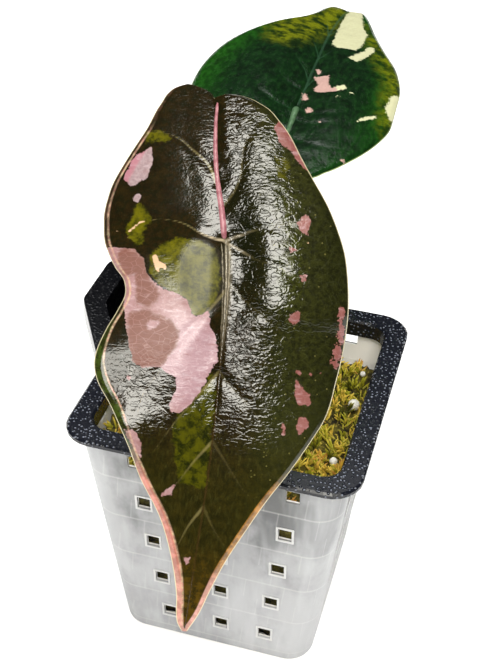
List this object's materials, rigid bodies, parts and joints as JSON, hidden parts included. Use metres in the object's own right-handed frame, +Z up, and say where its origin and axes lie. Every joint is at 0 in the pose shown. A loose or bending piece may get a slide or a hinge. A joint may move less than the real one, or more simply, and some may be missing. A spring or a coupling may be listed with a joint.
{
  "type": "potted plant",
  "caption": "Potted alocasia: shield-shaped variegated leaves on slim stalks rising from moss in a tapered square clear pot with a dark collar ring and side pocket.",
  "frame": {"origin": "middle of the pot's flat base", "axes": "+Z is up through the pot, -Y is the side that the large leaf hangs over, +X is at the right seen from that side"},
  "size_m": [0.1193, 0.2665, 0.2054],
  "materials": {
    "clear_plastic": "satin",
    "black_plastic": "pebbled satin",
    "moss": "matte",
    "crown_skin": "matte",
    "stalk_skin": "satin",
    "leaf_front_skin": "gloss",
    "leaf_back_skin": "gloss",
    "perlite": "matte"
  },
  "bodies": {
    "root": {"pot_body": "clear_plastic", "collar": "black_plastic", "sphagnum_moss": "moss", "crown": "crown_skin", "stalk_front": "stalk_skin", "stalk_back": "stalk_skin", "leaf_front": "leaf_front_skin", "leaf_back": "leaf_back_skin", "perlite_1": "perlite", "perlite_2": "perlite", "perlite_3": "perlite", "perlite_4": "perlite", "perlite_5": "perlite", "perlite_6": "perlite", "perlite_7": "perlite"}
  },
  "joints": []
}
